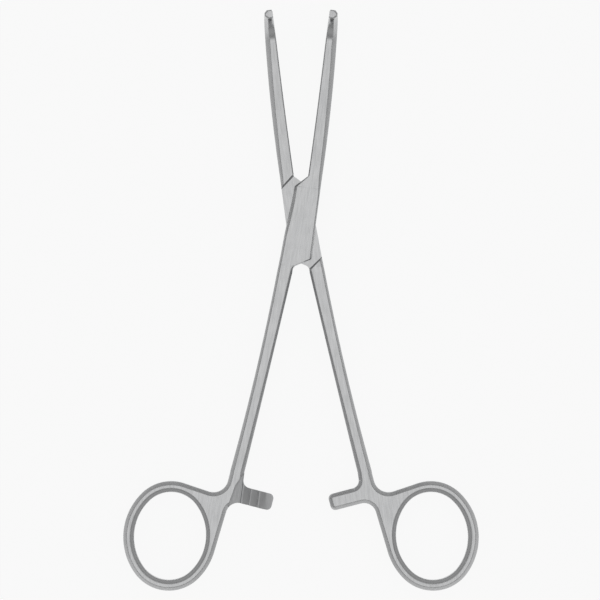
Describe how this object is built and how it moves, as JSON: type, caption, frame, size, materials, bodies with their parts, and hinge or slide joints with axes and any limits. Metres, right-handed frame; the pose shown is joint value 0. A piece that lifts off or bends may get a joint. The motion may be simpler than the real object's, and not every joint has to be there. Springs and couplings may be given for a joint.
{
  "type": "right angle forceps",
  "caption": "Slim locking forceps with finger rings, a ratchet, a box lock and jaws whose tips turn up at a right angle.",
  "frame": {"origin": "on the pivot axis, in the plane of the box's back face, which the forceps lies on", "axes": "+Y from the pivot towards the jaws, +X to the right seen from the front, +Z out of the front, the way the jaw tips turn"},
  "size_m": [0.1096, 0.1781, 0.014],
  "materials": {
    "steel": "satin"
  },
  "bodies": {
    "box_side": {"box_half": "steel", "pivot_pin": "steel"},
    "tang_side": {"tang_half": "steel"}
  },
  "joints": [
    {"name": "box_lock_pivot", "type": "hinge", "parent": "box_side", "child": "tang_side", "pos_m": [0, 0, 0.0025], "axis": [0, 0, 1], "range_deg": [-15.4, 74.6]}
  ]
}
